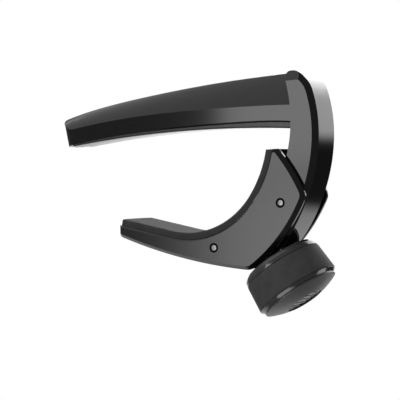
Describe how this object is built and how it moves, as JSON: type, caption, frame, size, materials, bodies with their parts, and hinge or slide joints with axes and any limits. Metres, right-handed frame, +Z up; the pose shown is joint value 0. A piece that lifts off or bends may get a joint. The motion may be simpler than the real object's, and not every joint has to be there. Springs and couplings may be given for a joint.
{
  "type": "guitar capo",
  "caption": "Screw-clamp guitar capo: a C-shaped frame with a padded string arm, a hinged padded jaw that closes round the neck, and a round adjusting knob.",
  "frame": {"origin": "middle of the string pad's contact arc, on the underside of the upper arm", "axes": "+X along the string pad towards the spine, +Y along the guitar's neck, +Z up, away from the strings"},
  "size_m": [0.0766, 0.0222, 0.0621],
  "materials": {
    "black_frame_finish": "satin black anodised aluminium, glossy where it turns",
    "black_core_finish": "satin black anodised aluminium",
    "string_pad_rubber": "moulded grey-black rubber",
    "neck_pad_rubber": "matte moulded rubber",
    "seal_rubber": "smooth rubber",
    "brass_insert": "turned brass",
    "spring_steel": "bright spring steel",
    "pin_steel": "polished steel",
    "screw_steel": "zinc plated steel",
    "knob_hub_plastic": "moulded black plastic",
    "knob_grip_plastic": "soft-touch black plastic",
    "knob_trim_gloss": "gloss black trim",
    "knob_cap_plastic": "satin black plastic",
    "cap_inlay_finish": "gloss black disc with plain fine ridges"
  },
  "bodies": {
    "frame": {"frame": "black_frame_finish", "string_pad": "string_pad_rubber", "thread_insert": "brass_insert", "hinge_bush_left": "brass_insert", "hinge_bush_right": "brass_insert", "friction_ring": "seal_rubber", "ring_retainer": "spring_steel", "return_spring": "spring_steel"},
    "jaw": {"jaw_plate_left": "black_frame_finish", "jaw_plate_right": "black_frame_finish", "jaw_core": "black_core_finish", "jaw_pad": "neck_pad_rubber", "hinge_pin": "pin_steel", "jaw_rivet": "pin_steel", "anvil_plate": "spring_steel", "hinge_washer_left": "spring_steel", "hinge_washer_right": "spring_steel"},
    "foot": {"swivel_foot": "screw_steel", "foot_clip": "spring_steel"},
    "knob": {"adjusting_screw": "screw_steel", "knob_hub": "knob_hub_plastic", "knob_grip": "knob_grip_plastic", "knob_inner_ring": "knob_trim_gloss", "knob_bezel_ring": "knob_trim_gloss", "knob_cap": "knob_cap_plastic", "cap_inlay": "cap_inlay_finish", "knob_nut": "screw_steel"}
  },
  "joints": [
    {"name": "knob_turn", "type": "hinge", "parent": "foot", "child": "knob", "pos_m": [0.02512, 0, -0.03574], "axis": [-0.5299, 0, 0.848], "range_deg": [-380, 950]},
    {"name": "screw_travel", "type": "slide", "parent": "frame", "child": "foot", "axis": [-0.5299, 0, 0.848], "range_m": [-0.00084, 0.00211]},
    {"name": "jaw_hinge", "type": "hinge", "parent": "frame", "child": "jaw", "pos_m": [0.0297, 0, -0.0201], "axis": [0, 1, 0], "range_deg": [-4.1, 10.1], "deforming": ["return_spring"]}
  ],
  "couplings": [
    {"joint": "knob_turn", "follows": "screw_travel", "rad_per_m": 7854},
    {"joint": "jaw_hinge", "follows": "screw_travel", "rad_per_m": 82.156}
  ]
}
